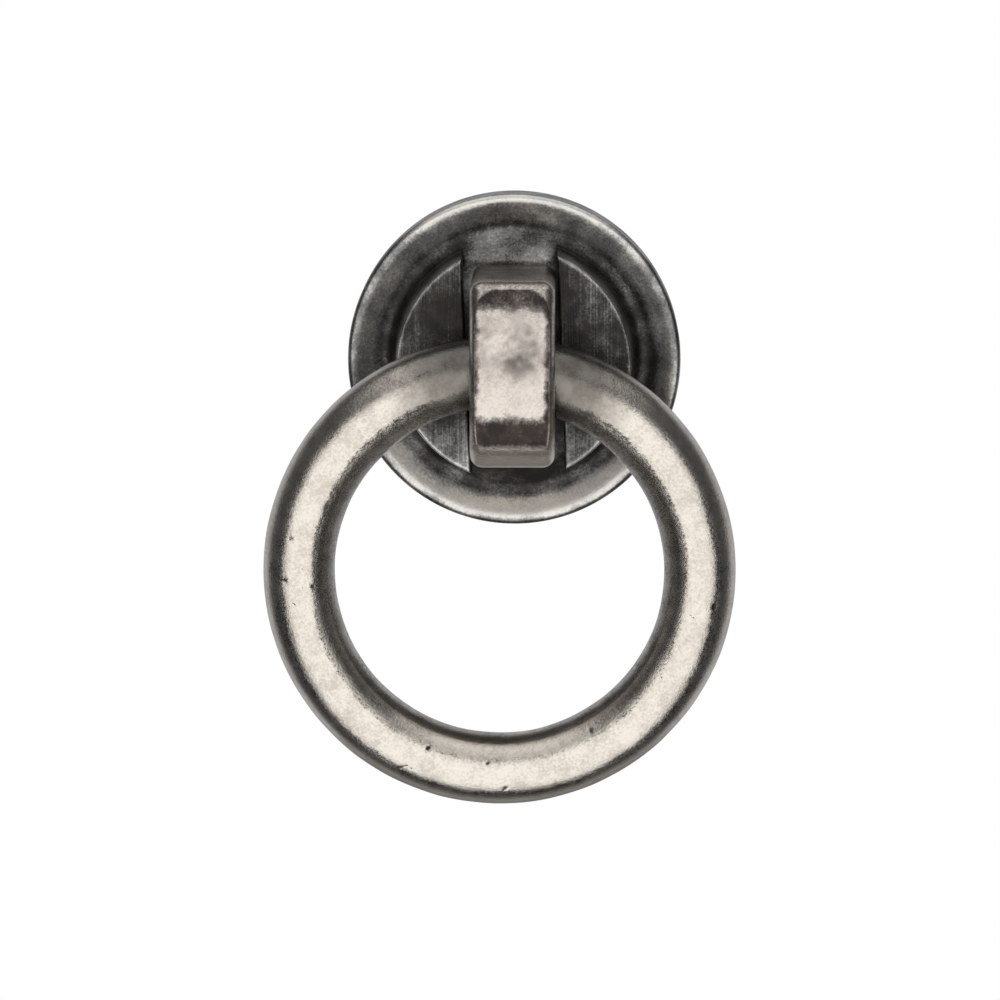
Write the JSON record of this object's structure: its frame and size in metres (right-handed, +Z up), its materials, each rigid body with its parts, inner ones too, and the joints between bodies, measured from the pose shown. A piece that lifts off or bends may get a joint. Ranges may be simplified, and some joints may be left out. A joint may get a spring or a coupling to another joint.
{
  "type": "drop pull",
  "caption": "Ring drop pull for a drawer or cabinet: a loose ring hung in the eye of a post that stands in a round dished rose with a raised boss.",
  "frame": {"origin": "where the fixing axis meets the drawer face, at the middle of the flat back of the rose", "axes": "+Z up along the drawer face, +Y into the drawer front along the fixing axis, +X to the right seen from the front; the pull looks along -Y"},
  "size_m": [0.0445, 0.0201, 0.057],
  "materials": {
    "aged_brass": "satin"
  },
  "bodies": {
    "base": {"rose": "aged_brass", "ring_post": "aged_brass"},
    "ring": {"ring": "aged_brass"}
  },
  "joints": [
    {"name": "ring_swing", "type": "hinge", "parent": "base", "child": "ring", "pos_m": [0, -0.0135, 0], "axis": [-1, 0, 0], "range_deg": [-15, 195]}
  ]
}
